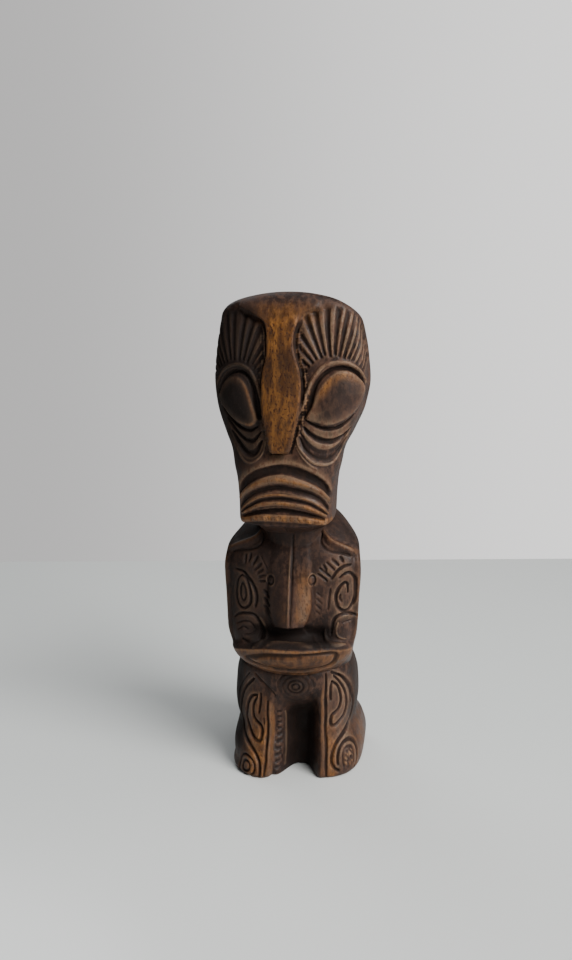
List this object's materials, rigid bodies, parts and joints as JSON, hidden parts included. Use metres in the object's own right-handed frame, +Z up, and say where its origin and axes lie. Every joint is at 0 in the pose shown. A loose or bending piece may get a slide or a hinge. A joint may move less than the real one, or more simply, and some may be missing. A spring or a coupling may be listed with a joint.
{
  "type": "carved tiki figure",
  "caption": "Small hand-carved standing tiki figure with a large mask head, a second mask face on the chest, and squat legs; dark stained wood.",
  "frame": {"origin": "on the peg axis at the resting face, on the floor", "axes": "+Z up towards the crown, -Y is the way the figure looks, +X to the viewer's right"},
  "size_m": [0.0378, 0.0372, 0.12],
  "materials": {
    "carved_wood": "dark stained, hand rubbed satin",
    "dowel_wood": "plain turned"
  },
  "bodies": {
    "root": {"head": "carved_wood", "torso": "carved_wood", "lower_body": "carved_wood", "neck_dowel": "dowel_wood", "waist_dowel": "dowel_wood"}
  },
  "joints": []
}
